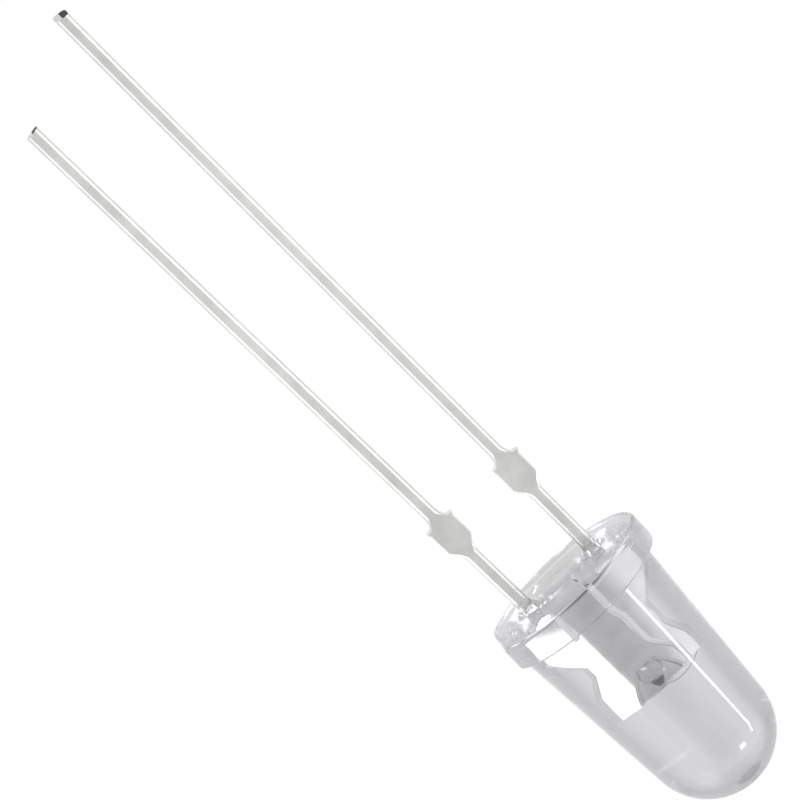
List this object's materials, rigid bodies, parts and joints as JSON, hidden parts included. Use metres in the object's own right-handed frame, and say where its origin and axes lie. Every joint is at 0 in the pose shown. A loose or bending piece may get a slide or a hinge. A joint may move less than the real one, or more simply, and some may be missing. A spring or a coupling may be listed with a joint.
{
  "type": "through hole led",
  "caption": "Clear round-topped light-emitting diode with a flanged case, a flat marking the cathode, and straight wire leads with stopper tabs for soldering through a board.",
  "frame": {"origin": "centre of the case's axis on the flat base face, where the leads come out", "axes": "+Z along the case axis towards the dome, leads along -Z; +X from the anode lead to the cathode lead, square to the flat on the flange; +Y square to the row of leads"},
  "size_m": [0.0054, 0.0056, 0.0301],
  "materials": {
    "clear_epoxy": "water clear, glossy",
    "tinned_steel": "bright tin plate, slightly uneven",
    "chip_crystal": "polished crystal",
    "silver_adhesive": "matt, silver filled",
    "gold_wire": "bright drawn gold"
  },
  "bodies": {
    "root": {"lens_case": "clear_epoxy", "cathode_frame": "tinned_steel", "anode_frame": "tinned_steel", "light_chip": "chip_crystal", "chip_adhesive": "silver_adhesive", "bond_wire": "gold_wire"}
  },
  "joints": []
}
